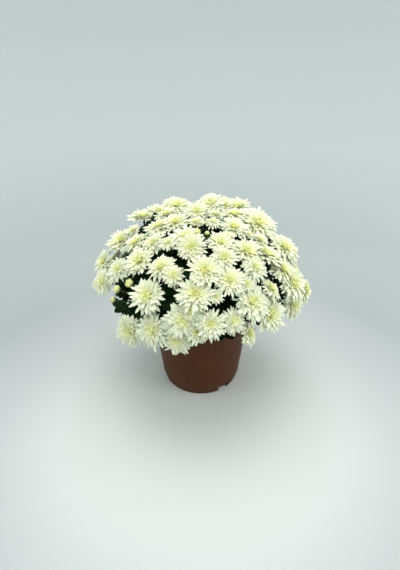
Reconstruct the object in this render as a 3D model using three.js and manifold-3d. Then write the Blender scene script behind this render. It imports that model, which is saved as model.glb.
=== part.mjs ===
// A pot chrysanthemum: five rooted cuttings of a white double-flowered florist's
// chrysanthemum, grown to a low dome over a plastic nursery pot.
//
// Millimetres, +Z up. The origin is the middle of the pot's foot, on the surface that it
// stands on, and -Y is the front. A bearing is counted in degrees from the front, turning
// towards +X, and a rise is the angle up the dome of flowers from its widest level.

import * as THREE from 'three';
import { mergeVertices } from 'three/addons/utils/BufferGeometryUtils.js';
import Module from 'manifold-3d';

const wasm = await Module();
wasm.setup();

// ---------------------------------------------------------------- driving dimensions

const SEATING_GAP = 0.3; // left between pieces that rest on or in one another
const MERGE_STEP = 0.03; // edges shorter than this are closed up where solids are joined
const UP = new THREE.Vector3(0, 0, 1);

const POT = {
  height: 108,
  baseRadius: 49.2, // of the wall, carried down to the surface
  topRadius: 60,
  wall: 1.4,
  footHeight: 7,
  footInset: 1.3, // the foot steps in under the wall
  footWidth: 2.5,
  floor: 1.6,
  collarHeight: 8,
  collarProud: 1.5,
  segments: 48,
};
const NOTCH = { bearings: [35, 108, 215, 288], width: 13 };
const DRAIN = { width: 6, innerRadius: 37, outerRadius: 50.6, height: 10.5, turn: 4 };

const SOIL = { edgeHeight: 92, crown: 3, pocketDepth: 20, segments: 40 };
const SOIL_TOP = SOIL.edgeHeight + SOIL.crown;

const DOME = { radius: 114, level: 132, rise: 88, drop: 45, lift: 0.3 };
const DOME_PEAK = DOME.rise / DOME.radius;

const STEM = { count: 5, radius: 2.6, ring: 30, topHeight: 164, lean: 9, sides: 7 };
const FORK_HEIGHTS = [113, 131, 148, 163];
const PEDICEL = { radius: 1.3, sides: 4, steps: 3 };
const PEDICEL_BEND = { start: 0.42, end: 0.38 }; // as shares of the span
const PEDICEL_START = new THREE.Vector2(0.6, 0.8); // outwards, up

const HEAD = { depthShare: 0.3, rimShare: 0.72, calyxShare: 0.3, seatRadius: 1.9, segments: 8 };
const SIDE_HEAD_SEGMENTS = 6;

const LEAF_THICKNESS = 0.9;

const COLOURS = {
  petal: 0xf3f5e6,
  green: 0x2f4a26,
  pot: 0x5d3527,
  soil: 0x2b1f18,
};

// Open flower heads: [bearing, rise, spread, turn, nod, proud], with spread the diameter over
// the petals, turn the degrees that the face looks further round, nod the degrees that it
// drops, and proud how far it stands out of the dome.
const OPEN_HEADS = [
  // crown
  [-160, 83, 26, 160, 26], [-66, 75, 30, 30, 8], [-21, 68, 33], [59, 70, 29, -30, 10],
  [112, 69.5, 33, 0, -14], [-76, 66, 30], [-10.5, 61, 31, 0, 18], [22, 63, 27, 0, 10],
  [-150, 61, 34, 0, -38, 4], [166, 67, 31, 0, -48, 4], [152, 61, 30, 0, -42, 3],
  [138, 57.5, 32, 0, -36, 5],
  // upper shoulder
  [-136, 51, 34, 0, -38, 3], [-121, 47.5, 32, 0, -28, 5], [-97, 36, 33, 45, -7, 1],
  [-70, 50, 26, 0, 6], [-52, 57, 28, 0, 12], [-49, 44, 32, 0, 6], [-29.5, 46, 29, -14, 4],
  [-18.5, 43, 24, 38, 12], [2.5, 46.7, 35], [19, 53.5, 24, 0, 12], [41, 53, 31, 0, 6],
  [57, 46, 34, 26, 0], [97, 57, 44, -60, 8, 2], [79, 38.5, 36, -22, 0, 4],
  // widest part, seen face on from the front
  [-63, 32, 29, 20, 0], [-89, 19, 30, 38, 0, 5], [-69, 17, 26, 36, 0, 5], [-31, 28, 41],
  [-3.3, 33.8, 37], [18, 40, 30], [38.3, 42.7, 25, 0, 12, 2], [60.3, 32.6, 33, 0, 0, 1],
  [43, 28, 26, 34, 0], [59.5, 22, 35, -16, 0, 5], [28, 25, 32], [78, 4, 30, -15, 0, 7],
  // lower edge, over the rim of the pot
  [-40, -2, 34, 14, 0], [-25, 8, 35], [-9.3, 17.8, 35, 14, 6], [-12, 4.5, 30],
  [4.4, 16.4, 29, 0, 0, 3], [16.2, 17, 26], [24, 6, 24, 35, 0], [38, 13.3, 36],
  [60, 7, 31, -18, 0],
  // upper shoulder at the back
  [114, 46, 36, -20, -10, 2], [128, 52, 33, 0, -20, 2], [165, 44, 32], [188, 43, 34],
  [210, 42, 33],
];

// Smaller side heads, half open or tucked behind their neighbours, on the same stems.
const SIDE_HEADS = [
  [-100, 46, 20, 40, 0], [-16, 81, 19], [-36, 61, 20], [-5, 24, 26, 0, 12], [-2, 11, 22],
  [38, 80, 20], [35, 67, 13], [67, 54, 18], [62, 61, 13], [28, 36, 17], [8, 32, 15],
  [-116, 68, 28], [105, 82, 22], [76, 22, 26], [88, 27, 22], [147, 43, 27], [130, 38, 22],
  [-174, 57, 28], [-93, 1, 22],
];

// Flower heads round the back, in rows: [rise, first bearing, step, how many, spread].
const BACK_ROWS = [
  [27, 103, 18, 9, 33],
  [9, 94, 16, 11, 32],
];

// Round buds still closed: [bearing, rise, diameter].
const BUDS = [[-7, 72, 7.5], [9, 71, 5], [-46, 30, 9], [-54, 22, 8.5], [-55, 14, 6.5]];

// Leaves that hang out below the flowers: [turn from the stem's bearing, tip radius, tip height].
const SKIRT_LEAVES = [[-22, 86, 116], [-7, 92, 121], [8, 88, 113], [22, 84, 119]];
const SKIRT_LEAF_WIDTH = 22;
// One broad leaf that shows outside the flowers: [bearing, tip radius, tip height].
const OUTER_LEAF = [-61, 114, 149];
const OUTER_LEAF_WIDTH = 26;

// ---------------------------------------------------------------- solids

// A closed three.js geometry as a solid that can be joined and cut.
function toSolid(geometry) {
  const bare = geometry.clone();
  bare.deleteAttribute('normal');
  bare.deleteAttribute('uv');
  const merged = mergeVertices(bare, 1e-4);
  return new wasm.Manifold(new wasm.Mesh({
    numProp: 3,
    vertProperties: new Float32Array(merged.attributes.position.array),
    triVerts: withoutSlivers(merged.index.array),
  }));
}

// Drops the triangles that a lathe folds flat where its outline meets the axis.
function withoutSlivers(index) {
  const kept = [];
  for (let i = 0; i < index.length; i += 3) {
    const [a, b, c] = index.slice(i, i + 3);
    if (a !== b && b !== c && c !== a) kept.push(a, b, c);
  }
  return new Uint32Array(kept);
}

function toGeometry(solid) {
  const mesh = solid.getMesh();
  const geometry = new THREE.BufferGeometry();
  geometry.setAttribute('position', new THREE.BufferAttribute(mesh.vertProperties, 3));
  geometry.setIndex(new THREE.BufferAttribute(mesh.triVerts, 1));
  geometry.computeVertexNormals();
  return geometry;
}

// Joins solids that meet into one, and fills any pocket that they shut in between them.
function joined(solids) {
  const whole = solids.reduce((sum, solid) => sum.add(solid)).asOriginal().simplify(MERGE_STEP);
  const shells = whole.decompose().sort((a, b) => b.volume() - a.volume());
  return shells[0];
}

// An outline of [radius, height] points turned about +Z.
function turned(outline, segments) {
  const points = outline.map(([radius, height]) => new THREE.Vector2(radius, height));
  return new THREE.LatheGeometry(points, segments).rotateX(Math.PI / 2);
}

// A rod of even thickness along a curve.
function rod(curve, radius, sides, steps) {
  const ring = Array.from({ length: sides }, (_, i) => {
    const angle = (2 * Math.PI * i) / sides;
    return new THREE.Vector2(radius * Math.cos(angle), radius * Math.sin(angle));
  });
  return toSolid(new THREE.ExtrudeGeometry(new THREE.Shape(ring), {
    steps,
    bevelEnabled: false,
    extrudePath: curve,
  }));
}

// A box with its middle at a bearing and a radius, turned to face outwards.
function boxAtBearing(bearing, width, innerRadius, outerRadius, low, high) {
  const depth = outerRadius - innerRadius;
  const box = new THREE.BoxGeometry(width, depth, high - low);
  box.translate(0, -(innerRadius + depth / 2), (low + high) / 2);
  return toSolid(box.rotateZ(THREE.MathUtils.degToRad(bearing)));
}

function outwards(bearing) {
  const angle = THREE.MathUtils.degToRad(bearing);
  return new THREE.Vector3(Math.sin(angle), -Math.cos(angle), 0);
}

function pointAt(bearing, radius, height) {
  return outwards(bearing).multiplyScalar(radius).setZ(height);
}

function material(colour, roughness) {
  return new THREE.MeshStandardMaterial({ color: colour, roughness, metalness: 0 });
}

// ---------------------------------------------------------------- pot and potting mix

const POT_TAPER = (POT.topRadius - POT.baseRadius) / POT.height;

function wallRadius(height) {
  return POT.baseRadius + POT_TAPER * height;
}

function innerRadius(height) {
  return wallRadius(height) - POT.wall;
}

const FLOOR_TOP = POT.footHeight + POT.floor;

function potBody() {
  const footRadius = POT.baseRadius - POT.footInset;
  const collarFoot = POT.height - POT.collarHeight;
  const collarRadius = POT.topRadius + POT.collarProud;
  const outline = [
    [0, POT.footHeight],
    [footRadius - POT.footWidth, POT.footHeight],
    [footRadius - POT.footWidth, 0],
    [footRadius, 0],
    [footRadius + 0.5, POT.footHeight - 0.6],
    [wallRadius(POT.footHeight), POT.footHeight + 0.6],
    [wallRadius(collarFoot), collarFoot],
    [collarRadius - 0.2, collarFoot + 0.8],
    [collarRadius, POT.height - 0.7],
    [collarRadius - 0.7, POT.height],
    [innerRadius(POT.height) + 0.5, POT.height],
    [innerRadius(POT.height) - 0.1, POT.height - 0.8],
    [innerRadius(FLOOR_TOP + 2), FLOOR_TOP + 2],
    [innerRadius(FLOOR_TOP) - 2, FLOOR_TOP],
    [0, FLOOR_TOP],
  ];
  return toSolid(turned(outline, POT.segments));
}

// Notches let water out from under the pot, and each has a drain hole at its corner.
function potMesh() {
  let solid = potBody();
  for (const bearing of NOTCH.bearings) {
    const outer = POT.baseRadius + 2;
    const inner = POT.baseRadius - POT.footInset - POT.footWidth - 2;
    solid = solid.subtract(boxAtBearing(bearing, NOTCH.width, inner, outer, -1, POT.footHeight));
    solid = solid.subtract(boxAtBearing(bearing + DRAIN.turn, DRAIN.width,
      DRAIN.innerRadius, DRAIN.outerRadius, POT.footHeight - 1, DRAIN.height));
  }
  return new THREE.Mesh(toGeometry(solid), material(COLOURS.pot, 0.5));
}

function soilMesh() {
  const low = FLOOR_TOP + SEATING_GAP;
  const edge = innerRadius(SOIL.edgeHeight) - SEATING_GAP;
  const outline = [
    [0, low],
    [innerRadius(FLOOR_TOP) - 2 - SEATING_GAP, low],
    [innerRadius(FLOOR_TOP + 2) - SEATING_GAP, FLOOR_TOP + 2 + SEATING_GAP],
    [edge, SOIL.edgeHeight],
    [edge * 0.75, SOIL.edgeHeight + 0.75 * SOIL.crown],
    [0, SOIL_TOP],
  ];
  let solid = toSolid(turned(outline, SOIL.segments));
  for (let k = 0; k < STEM.count; k += 1) solid = solid.subtract(stemPocket(k));
  return new THREE.Mesh(toGeometry(solid), material(COLOURS.soil, 0.95));
}

// The hole in the potting mix that a cutting is rooted in.
function stemPocket(k) {
  const top = SOIL_TOP + 5;
  const low = SOIL_TOP - SOIL.pocketDepth - SEATING_GAP;
  const curve = new THREE.LineCurve3(
    pointAt(stemBearing(k), STEM.ring, low), pointAt(stemBearing(k), STEM.ring, top));
  return rod(curve, STEM.radius + 3 * SEATING_GAP, STEM.sides, 1);
}

// ---------------------------------------------------------------- places on the dome

function stemBearing(k) {
  return (k + 0.5) * (360 / STEM.count);
}

// Which cutting carries what grows at a bearing.
function stemFor(bearing) {
  return Math.floor((((bearing % 360) + 360) % 360) / (360 / STEM.count));
}

function domePoint(bearing, rise) {
  const angle = THREE.MathUtils.degToRad(rise);
  const reach = rise < 0 ? DOME.drop : DOME.rise;
  return pointAt(bearing, DOME.radius * Math.cos(angle), DOME.level + reach * Math.sin(angle));
}

// The way a flower faces: square to the dome, and lifted a little towards the light.
function facing(bearing, rise, turn = 0, nod = 0) {
  const angle = THREE.MathUtils.degToRad(rise);
  const climb = Math.atan2(Math.sin(angle) / DOME_PEAK + DOME.lift, Math.cos(angle));
  const slope = climb - THREE.MathUtils.degToRad(nod);
  return outwards(bearing + turn).multiplyScalar(Math.cos(slope)).setZ(Math.sin(slope));
}

function makeHead([bearing, rise, spread, turn, nod, proud = 0]) {
  const face = facing(bearing, rise, turn, nod);
  const centre = domePoint(bearing, rise).addScaledVector(facing(bearing, rise), proud);
  const depth = HEAD.depthShare * spread;
  const seat = centre.clone().addScaledVector(face, -HEAD.rimShare * depth);
  return { bearing, centre, face, depth, spread, seat, radius: spread / 2 };
}

// Neighbours share the room between them, so that no two solid heads meet.
function shareRoom(heads) {
  for (const head of heads) {
    for (const other of heads) {
      if (other === head) continue;
      const share = head.spread / (head.spread + other.spread);
      const room = head.centre.distanceTo(other.centre) * share - SEATING_GAP / 2;
      head.radius = Math.min(head.radius, room);
    }
  }
}

function backHeads() {
  return BACK_ROWS.flatMap(([rise, first, step, count, spread]) =>
    Array.from({ length: count }, (_, i) => {
      const sway = Math.sin(2.4 * i + rise);
      return makeHead([first + step * i, rise + 3 * sway, spread + 3 * Math.cos(1.7 * i)]);
    }));
}

const openHeads = OPEN_HEADS.map(makeHead);
const joinedHeads = [...SIDE_HEADS.map(makeHead), ...backHeads()];
shareRoom([...openHeads, ...joinedHeads]);

// ---------------------------------------------------------------- flower heads

// A double flower as a solid: green cup below, petals spreading to the rim, domed face.
function headGeometry(head, segments) {
  const { depth, radius } = head;
  const rim = HEAD.rimShare * depth;
  const outline = [
    [0, 0],
    [Math.min(HEAD.seatRadius, radius * 0.4), 0],
    [HEAD.calyxShare * radius + 1, 0.22 * depth],
    [radius * 0.98, rim],
    [radius * 0.62, depth * 0.93],
    [0, depth],
  ];
  const geometry = turned(outline, segments);
  const swing = new THREE.Quaternion().setFromUnitVectors(UP, head.face);
  return geometry.applyQuaternion(swing).translate(head.seat.x, head.seat.y, head.seat.z);
}

function openHeadMesh(head) {
  const geometry = toGeometry(toSolid(headGeometry(head, HEAD.segments)));
  geometry.translate(-head.centre.x, -head.centre.y, -head.centre.z);
  const mesh = new THREE.Mesh(geometry, material(COLOURS.petal, 0.6));
  mesh.position.copy(head.centre);
  return mesh;
}

// ---------------------------------------------------------------- stems, buds and leaves

// Where a cutting's middle line is at a height: it leans outwards as it climbs.
function stemPoint(k, height) {
  const share = Math.max(0, (height - SOIL_TOP) / (STEM.topHeight - SOIL_TOP));
  return pointAt(stemBearing(k), STEM.ring + STEM.lean * share, height);
}

function mainStem(k) {
  const heights = [SOIL_TOP - SOIL.pocketDepth, SOIL_TOP - 8, SOIL_TOP, 115, 140, STEM.topHeight];
  const curve = new THREE.CatmullRomCurve3(heights.map((height) => stemPoint(k, height)));
  return rod(curve, STEM.radius, STEM.sides, 6);
}

// The highest fork that still lies well below what it carries.
function forkFor(k, seat) {
  const below = FORK_HEIGHTS.filter((height) => height < seat.z - 22);
  return stemPoint(k, below.length ? below[below.length - 1] : FORK_HEIGHTS[0]);
}

// The stalk from a fork of the cutting to the underside of a flower or a bud.
function pedicel(k, seat, face, radius) {
  const fork = forkFor(k, seat);
  const span = fork.distanceTo(seat);
  const leaving = outwards(stemBearing(k)).multiplyScalar(PEDICEL_START.x).setZ(PEDICEL_START.y);
  const curve = new THREE.CubicBezierCurve3(
    fork,
    fork.clone().addScaledVector(leaving, PEDICEL_BEND.start * span),
    seat.clone().addScaledVector(face, -PEDICEL_BEND.end * span),
    seat,
  );
  return rod(curve, radius, PEDICEL.sides, PEDICEL.steps);
}

function bud([bearing, rise, size]) {
  const face = facing(bearing, rise);
  const centre = domePoint(bearing, rise);
  const ball = new THREE.IcosahedronGeometry(size / 2, 0);
  ball.translate(centre.x, centre.y, centre.z);
  return [toSolid(ball), pedicel(stemFor(bearing), centre, face, 0.9)];
}

// A thin blade, widest at its middle, from the stem to its tip.
function leaf(root, tip, width) {
  const blade = new THREE.OctahedronGeometry(1);
  const along = tip.clone().sub(root);
  const across = new THREE.Vector3().crossVectors(UP, along).normalize();
  const normal = new THREE.Vector3().crossVectors(along, across).normalize();
  const frame = new THREE.Matrix4().makeBasis(
    along.clone().multiplyScalar(0.5),
    across.multiplyScalar(width / 2),
    normal.multiplyScalar(LEAF_THICKNESS / 2),
  );
  frame.setPosition(root.clone().add(tip).multiplyScalar(0.5));
  return toSolid(blade.applyMatrix4(frame));
}

function skirtLeaves(k) {
  return SKIRT_LEAVES.map(([turn, tipRadius, tipHeight], i) => {
    const root = stemPoint(k, FORK_HEIGHTS[0] + 2 * i);
    return leaf(root, pointAt(stemBearing(k) + turn, tipRadius, tipHeight), SKIRT_LEAF_WIDTH);
  });
}

function outerLeaf() {
  const [bearing, tipRadius, tipHeight] = OUTER_LEAF;
  const root = stemPoint(stemFor(bearing), FORK_HEIGHTS[1]);
  return leaf(root, pointAt(bearing, tipRadius, tipHeight), OUTER_LEAF_WIDTH);
}

// One cutting: its main stem with all the stalks, leaves, buds and side heads it carries.
function cuttingMesh(k) {
  const pieces = [mainStem(k), ...skirtLeaves(k)];
  for (const head of openHeads.filter(({ bearing }) => stemFor(bearing) === k)) {
    const end = head.seat.clone().addScaledVector(head.face, -SEATING_GAP);
    pieces.push(pedicel(k, end, head.face, PEDICEL.radius));
  }
  for (const head of joinedHeads.filter(({ bearing }) => stemFor(bearing) === k)) {
    const end = head.seat.clone().addScaledVector(head.face, 1);
    pieces.push(pedicel(k, end, head.face, PEDICEL.radius));
    pieces.push(toSolid(headGeometry(head, SIDE_HEAD_SEGMENTS)));
  }
  for (const entry of BUDS.filter(([bearing]) => stemFor(bearing) === k)) pieces.push(...bud(entry));
  if (stemFor(OUTER_LEAF[0]) === k) pieces.push(outerLeaf());
  return new THREE.Mesh(toGeometry(joined(pieces)), material(COLOURS.green, 0.7));
}

// ---------------------------------------------------------------- assembly

const plant = new THREE.Group();

function place(name, mesh) {
  mesh.name = name;
  plant.add(mesh);
}

place('pot', potMesh());
place('potting_mix', soilMesh());
for (let k = 0; k < STEM.count; k += 1) place(`cutting_${k + 1}`, cuttingMesh(k));
openHeads.forEach((head, i) => {
  place(`flower_head_${String(i + 1).padStart(2, '0')}`, openHeadMesh(head));
});

export default plant;
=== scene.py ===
"""The looks of a white pot chrysanthemum, built around its CAD frame.

The frame says where each open flower head sits, how wide it is and where it faces. The other
heads, the buds and the stalks follow the same rules as in the CAD source. Lengths in the
constants are millimetres unless they say otherwise, and what is built is in metres. A bearing
is counted in degrees from the front (-Y) towards +X, and a rise is the angle up the dome.
"""

import itertools
import math

import bpy
import numpy as np
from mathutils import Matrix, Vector


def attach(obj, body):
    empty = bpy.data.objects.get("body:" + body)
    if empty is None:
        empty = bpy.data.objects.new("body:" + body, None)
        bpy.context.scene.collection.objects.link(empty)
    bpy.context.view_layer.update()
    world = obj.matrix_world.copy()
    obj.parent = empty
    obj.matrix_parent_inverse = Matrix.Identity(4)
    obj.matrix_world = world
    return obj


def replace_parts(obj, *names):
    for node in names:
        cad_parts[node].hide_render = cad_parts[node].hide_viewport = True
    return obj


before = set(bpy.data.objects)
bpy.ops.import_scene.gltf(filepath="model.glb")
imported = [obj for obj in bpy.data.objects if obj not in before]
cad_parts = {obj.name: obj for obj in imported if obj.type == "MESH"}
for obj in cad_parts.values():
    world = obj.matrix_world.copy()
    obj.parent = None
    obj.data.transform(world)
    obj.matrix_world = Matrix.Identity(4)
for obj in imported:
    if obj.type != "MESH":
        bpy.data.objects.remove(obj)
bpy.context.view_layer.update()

MM = 0.001  # in metres
RIGHT, BACK, UP = np.eye(3)
GOLDEN_ANGLE = math.radians(137.508)

# ------------ sizes shared with the CAD

DOME = dict(radius=114, level=132, rise=88, drop=45, lift=0.3)
STEM = dict(count=5, radius=2.6, ring=30, top=164, lean=9)
SOIL = dict(edge=92, crown=3, pocket=20)
SEATING_GAP = 0.3
SOIL_TOP = SOIL["edge"] + SOIL["crown"]
FORK_HEIGHTS = (113, 131, 148, 163)
FORK_CLEARANCE = 22
PEDICEL_BEND = (0.42, 0.38)
PEDICEL_START = (0.6, 0.8)
HEAD_DEPTH_SHARE = 0.3
HEAD_RIM_SHARE = 0.72

# Half open or half hidden heads: bearing, rise, spread, turn, nod.
SIDE_HEADS = (
    (-100, 46, 20, 40, 0), (-16, 81, 19, 0, 0), (-36, 61, 20, 0, 0), (-5, 24, 26, 0, 12),
    (-2, 11, 22, 0, 0), (38, 80, 20, 0, 0), (35, 67, 13, 0, 0), (67, 54, 18, 0, 0),
    (62, 61, 13, 0, 0), (28, 36, 17, 0, 0), (8, 32, 15, 0, 0), (-116, 68, 28, 0, 0),
    (105, 82, 22, 0, 0), (76, 22, 26, 0, 0), (88, 27, 22, 0, 0), (147, 43, 27, 0, 0),
    (130, 38, 22, 0, 0), (-174, 57, 28, 0, 0), (-93, 1, 22, 0, 0),
)
# How far they are open: those under this spread, and the others.
HALF_OPEN_SPREAD = 20
HALF_OPEN = 0.68
NEARLY_OPEN = 0.85
# Open heads cup their petals as they turn to the sky: how much, from what upward share of their
# facing, and over what further share.
SKYWARD = dict(cup=0.22, start=0.5, span=0.4)
# Rows of heads round the back: rise, first bearing, step, how many, spread. Both the rise and
# the spread sway.
BACK_ROWS = ((27, 103, 18, 9, 33), (9, 94, 16, 11, 32))
BACK_SWAY = 3
# Closed buds: bearing, rise, diameter.
BUDS = ((-7, 72, 7.5), (9, 71, 5), (-46, 30, 9), (-54, 22, 8.5), (-55, 14, 6.5))

POT = dict(height=108, base=49.2, top=60, wall=1.4, foot=7, foot_inset=1.3, foot_width=2.5,
           floor=1.6, collar=8, collar_proud=1.5)
NOTCH_BEARINGS = (35, 108, 215, 288)
NOTCH_WIDTH = 13
DRAIN = dict(width=6, inner=37, outer=50.6, height=10.5, turn=4)


# ------------ places on the plant

def outwards(bearing):
    angle = math.radians(bearing)
    return np.array([math.sin(angle), -math.cos(angle), 0.0])


def point_at(bearing, radius, height):
    return (outwards(bearing) * radius + UP * height) * MM


def dome_point(bearing, rise):
    angle = math.radians(rise)
    reach = DOME["drop"] if rise < 0 else DOME["rise"]
    height = DOME["level"] + reach * math.sin(angle)
    return point_at(bearing, DOME["radius"] * math.cos(angle), height)


def facing(bearing, rise, turn=0, nod=0):
    """Square to the dome, and lifted a little towards the light."""
    angle = math.radians(rise)
    peak = DOME["rise"] / DOME["radius"]
    slope = math.atan2(math.sin(angle) / peak + DOME["lift"], math.cos(angle)) - math.radians(nod)
    return outwards(bearing + turn) * math.cos(slope) + UP * math.sin(slope)


def bearing_of(point):
    return math.degrees(math.atan2(point[0], -point[1]))


def stem_bearing(k):
    """Where cutting k stands. The cuttings are numbered from 0."""
    return (k + 0.5) * 360 / STEM["count"]


def stem_for(bearing):
    return int((bearing % 360) // (360 / STEM["count"]))


def stem_point(k, height):
    share = max(0.0, (height - SOIL_TOP) / (STEM["top"] - SOIL_TOP))
    return point_at(stem_bearing(k), STEM["ring"] + STEM["lean"] * share, height)


def unit(vector):
    return vector / np.linalg.norm(vector)


def across(direction, reference=UP):
    """A unit vector square to direction, level where that is possible."""
    side = np.cross(reference, direction)
    if np.linalg.norm(side) < 1e-6:
        side = np.cross(RIGHT, direction)
    return unit(side)


class Head:
    """A flower head: its seat on the stalk, the way it faces, its spread and its CAD node."""

    def __init__(self, name, seat, face, spread, openness, node=None):
        self.name = name
        self.seat = seat
        self.face = face
        self.spread = spread
        self.openness = openness
        self.node = node
        self.centre = seat + face * HEAD_RIM_SHARE * HEAD_DEPTH_SHARE * spread
        self.stem = stem_for(bearing_of(self.centre))


SAME_WAY = 0.9995  # least cosine between two normals that count as one
LEAST_AREA = 1e-9  # square metres


def head_from_node(node):
    """Reads a head back from its CAD solid: its flat seat, its axis and its depth."""
    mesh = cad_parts[node].data
    corners = np.array([v.co for v in mesh.vertices])
    mesh.calc_loop_triangles()
    normals = np.array([t.normal for t in mesh.loop_triangles])
    areas = np.array([t.area for t in mesh.loop_triangles])
    middles = np.array([corners[list(t.vertices)].mean(0) for t in mesh.loop_triangles])
    alike = normals @ normals.T > SAME_WAY
    flattest = int(np.argmax((alike & (areas > LEAST_AREA)).sum(1)))
    group = alike[flattest]
    face = -unit((normals[group] * areas[group, None]).sum(0))
    seat_height = (middles[group] @ face).mean()
    axis_point = corners[np.argmax(corners @ face)]
    seat = axis_point + face * (seat_height - axis_point @ face)
    depth = (corners @ face).max() - seat_height
    return seat, face, depth / HEAD_DEPTH_SHARE


def make_head(name, bearing, rise, spread, turn=0, nod=0, openness=1.0):
    face = facing(bearing, rise, turn, nod)
    spread = spread * MM
    seat = dome_point(bearing, rise) - face * HEAD_RIM_SHARE * HEAD_DEPTH_SHARE * spread
    return Head(name, seat, face, spread, openness)


def open_heads():
    heads = []
    for node in sorted(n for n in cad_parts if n.startswith("flower_head_")):
        seat, face, spread = head_from_node(node)
        skyward = np.clip((face[2] - SKYWARD["start"]) / SKYWARD["span"], 0, 1)
        openness = 1.0 - SKYWARD["cup"] * skyward
        heads.append(Head(node.replace("flower_", ""), seat, face, spread, openness, node))
    return heads


def side_heads():
    heads = []
    for i, (bearing, rise, spread, turn, nod) in enumerate(SIDE_HEADS):
        name = f"side_head_{i + 1:02d}"
        openness = HALF_OPEN if spread < HALF_OPEN_SPREAD else NEARLY_OPEN
        heads.append(make_head(name, bearing, rise, spread, turn, nod, openness))
    return heads


def back_heads():
    heads = []
    for rise, first, step, count, spread in BACK_ROWS:
        for i in range(count):
            sway = BACK_SWAY * math.sin(2.4 * i + rise)
            size = spread + BACK_SWAY * math.cos(1.7 * i)
            name = f"back_head_{len(heads) + 1:02d}"
            heads.append(make_head(name, first + step * i, rise + sway, size))
    return heads


# ------------ mesh building

SHARP_ANGLE = 75  # edges that fold more than this aren't smoothed
TUBE_REFERENCE = np.array([0.3, 0.2, 0.9])


def add_object(name, data):
    piece = bpy.data.objects.new(name, data)
    bpy.context.scene.collection.objects.link(piece)
    return piece


class Shell:
    """Gathers vertices, faces and values at the vertices, and makes one mesh of them."""

    def __init__(self):
        self.points = []
        self.faces = []
        self.values = {}
        self.count = 0

    def add(self, points, faces, **values):
        points = np.asarray(points, float).reshape(-1, 3)
        self.points.append(points)
        self.faces.append(np.asarray(faces, int) + self.count)
        self.count += len(points)
        for name, value in values.items():
            each = np.broadcast_to(np.asarray(value, float), np.shape(value) or (len(points),))
            self.values.setdefault(name, []).append(each.reshape(len(points), -1))

    def fill(self, mesh):
        """Puts all that was gathered into an empty mesh."""
        faces = [face for group in self.faces for face in group.tolist()]
        corners = np.concatenate([group.ravel() for group in self.faces])
        mesh.from_pydata(np.concatenate(self.points), [], faces)
        mesh.polygons.foreach_set("use_smooth", np.ones(len(faces), bool))
        for key, parts in self.values.items():
            value = np.concatenate(parts)
            if key == "uv":
                layer = mesh.uv_layers.new(name="grain")
                layer.data.foreach_set("uv", value[corners].ravel())
            else:
                layer = mesh.attributes.new(key, "FLOAT", "POINT")
                layer.data.foreach_set("value", value[:, 0])

    def build(self, name, material, slot):
        mesh = bpy.data.meshes.new(name)
        self.fill(mesh)
        mesh.validate()
        mesh.set_sharp_from_angle(angle=math.radians(SHARP_ANGLE))
        mesh.materials.append(material)
        piece = add_object(name, mesh)
        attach(piece, "root")
        return piece


def grid_faces(index):
    """Quads over a grid of vertex numbers."""
    corners = (index[:-1, :-1], index[1:, :-1], index[1:, 1:], index[:-1, 1:])
    return np.stack(corners, -1).reshape(-1, 4)


def blade_faces(rows, columns):
    """A thin closed blade: an upper and a lower grid that share their border vertices."""
    upper = np.arange(rows * columns).reshape(rows, columns)
    lower = upper.copy()
    inner = (rows - 2) * (columns - 2)
    lower[1:-1, 1:-1] = rows * columns + np.arange(inner).reshape(rows - 2, columns - 2)
    return np.concatenate([grid_faces(upper), grid_faces(lower)[:, ::-1]])


def with_underside(top, bottom=None):
    """The values of each blade: all those on top, then the inner ones of the underside."""
    bottom = top[:, 1:-1, 1:-1] if bottom is None else bottom
    shape = (len(top), -1, *top.shape[3:])
    return np.concatenate([top.reshape(shape), bottom.reshape(shape)], 1)


def ring_faces(rings, sides):
    """Quads round a tube with the given number of rings."""
    index = np.arange(rings * sides).reshape(rings, sides)
    return grid_faces(np.concatenate([index, index[:, :1]], 1))[:, ::-1]


def add_capped(shell, points, ends, sides, **values):
    """Rings of points closed at both ends by fans round the two end points."""
    rings = len(points) // sides
    here = np.arange(sides)
    there = np.roll(here, -1)
    last_ring = (rings - 1) * sides
    first_fan = np.stack([there, here, np.full(sides, rings * sides)], -1)
    last_fan = np.stack([here, there, np.full(sides, sides + 1)], -1) + last_ring
    across_it = np.append(np.tile(here / sides, rings), [0, 0])
    along_it = np.append(np.repeat(np.linspace(0, 1, rings), sides), [0, 1])
    start = shell.count
    shell.add(np.concatenate([points, ends]), ring_faces(rings, sides),
              uv=np.stack([across_it, along_it], -1), **values)
    shell.faces.append(first_fan + start)
    shell.faces.append(last_fan + start)


def add_tube(shell, path, radii, sides, **values):
    """A closed tube along a path of points, with a radius at each point."""
    path = np.asarray(path)
    steps = np.gradient(path, axis=0)
    tangents = steps / np.linalg.norm(steps, axis=1, keepdims=True)
    side = across(tangents[0], TUBE_REFERENCE)
    angles = np.arange(sides) * 2 * math.pi / sides
    rings = []
    for point, tangent, radius in zip(path, tangents, radii):
        side = unit(side - tangent * (side @ tangent))
        other = np.cross(tangent, side)
        ring = np.outer(np.cos(angles), side) + np.outer(np.sin(angles), other)
        rings.append(point + radius * ring)
    add_capped(shell, np.concatenate(rings), path[[0, -1]], sides, **values)


def turned_points(outline, sides, wobble=None):
    """Rings of points: an outline of (radius, height) turned about the z axis.

    wobble gives a factor on the radius at an angle and a share of the outline.
    """
    angles = np.arange(sides) * 2 * math.pi / sides
    radius, height = outline.T[:, :, None] * np.ones(sides)
    if wobble:
        radius = radius * wobble(angles, np.linspace(0, 1, len(outline))[:, None])
    points = np.stack([radius * np.cos(angles), radius * np.sin(angles), height], -1)
    return points.reshape(-1, 3)


def placed(points, face, centre):
    """Points round the z axis, moved so that it runs along face through centre."""
    side = across(face)
    basis = np.stack([side, np.cross(face, side), face], -1)
    return points.reshape(-1, 3) @ basis.T + centre


# ------------ petals

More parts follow.
